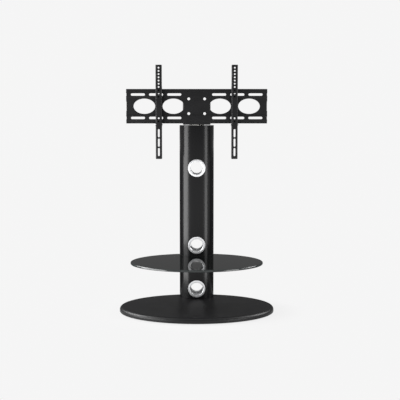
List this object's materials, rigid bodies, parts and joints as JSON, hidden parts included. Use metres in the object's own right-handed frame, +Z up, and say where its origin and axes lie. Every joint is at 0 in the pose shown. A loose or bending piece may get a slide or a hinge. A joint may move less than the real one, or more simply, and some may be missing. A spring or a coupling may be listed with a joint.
{
  "type": "tv stand with mount",
  "caption": "Pedestal television stand with an oval base, a hollow column with cable holes, an oval glass shelf and a swivelling slotted mount with two sliding hook arms.",
  "frame": {"origin": "middle of the base in plan, on the floor under the feet", "axes": "+Z up, the screen side faces -Y, +X to the right seen from the front"},
  "size_m": [0.694, 0.4, 1.112],
  "materials": {
    "base_lacquer": "satin black lacquer on fibreboard",
    "column_black": "satin black coated extrusion",
    "steel_black": "fine black powder coat on steel",
    "chrome": "bright chrome plate",
    "glass_black": "black toughened glass with a pencil polished edge",
    "rubber": "matte moulded rubber",
    "nylon": "natural grey nylon",
    "zinc": "zinc plate"
  },
  "bodies": {
    "stand": {"base_plate": "base_lacquer", "base_screw_1": "zinc", "base_screw_2": "zinc", "base_screw_3": "zinc", "base_screw_4": "zinc", "base_steel_plate": "steel_black", "cap_screw_1": "zinc", "cap_screw_2": "zinc", "cap_screw_3": "zinc", "cap_screw_4": "zinc", "column": "column_black", "column_cap": "steel_black", "foot_1": "rubber", "foot_2": "rubber", "foot_3": "rubber", "foot_4": "rubber", "foot_5": "rubber", "foot_6": "rubber", "foot_7": "rubber", "foot_8": "rubber", "front_grommet_lower": "chrome", "front_grommet_middle": "chrome", "front_grommet_upper": "chrome", "glass_shelf": "glass_black", "pivot_bolt": "zinc", "pivot_nut": "zinc", "pivot_washer_lower": "zinc", "pivot_washer_upper": "zinc", "rear_grommet_lower": "chrome", "rear_grommet_middle": "chrome", "rear_grommet_upper": "chrome", "shelf_bracket": "steel_black", "shelf_bracket_screw_1": "zinc", "shelf_bracket_screw_2": "zinc", "shelf_edging": "rubber", "shelf_pad_1": "rubber", "shelf_pad_2": "rubber", "shelf_pad_3": "rubber", "shelf_pad_4": "rubber", "swivel_bush": "nylon"},
    "head": {"neck_bracket": "steel_black", "wall_plate": "steel_black"},
    "left_hanger": {"left_arm": "steel_black", "left_lock_screw": "zinc"},
    "right_hanger": {"right_arm": "steel_black", "right_lock_screw": "zinc"}
  },
  "joints": [
    {"name": "head_swivel", "type": "hinge", "parent": "stand", "child": "head", "pos_m": [0, 0.1435, 0.841], "axis": [0, 0, 1], "range_deg": [-30, 30]},
    {"name": "left_arm_slide", "type": "slide", "parent": "head", "child": "left_hanger", "axis": [1, 0, 0], "range_m": [-0.128, 0.072]},
    {"name": "right_arm_slide", "type": "slide", "parent": "head", "child": "right_hanger", "axis": [1, 0, 0], "range_m": [-0.072, 0.128]}
  ]
}
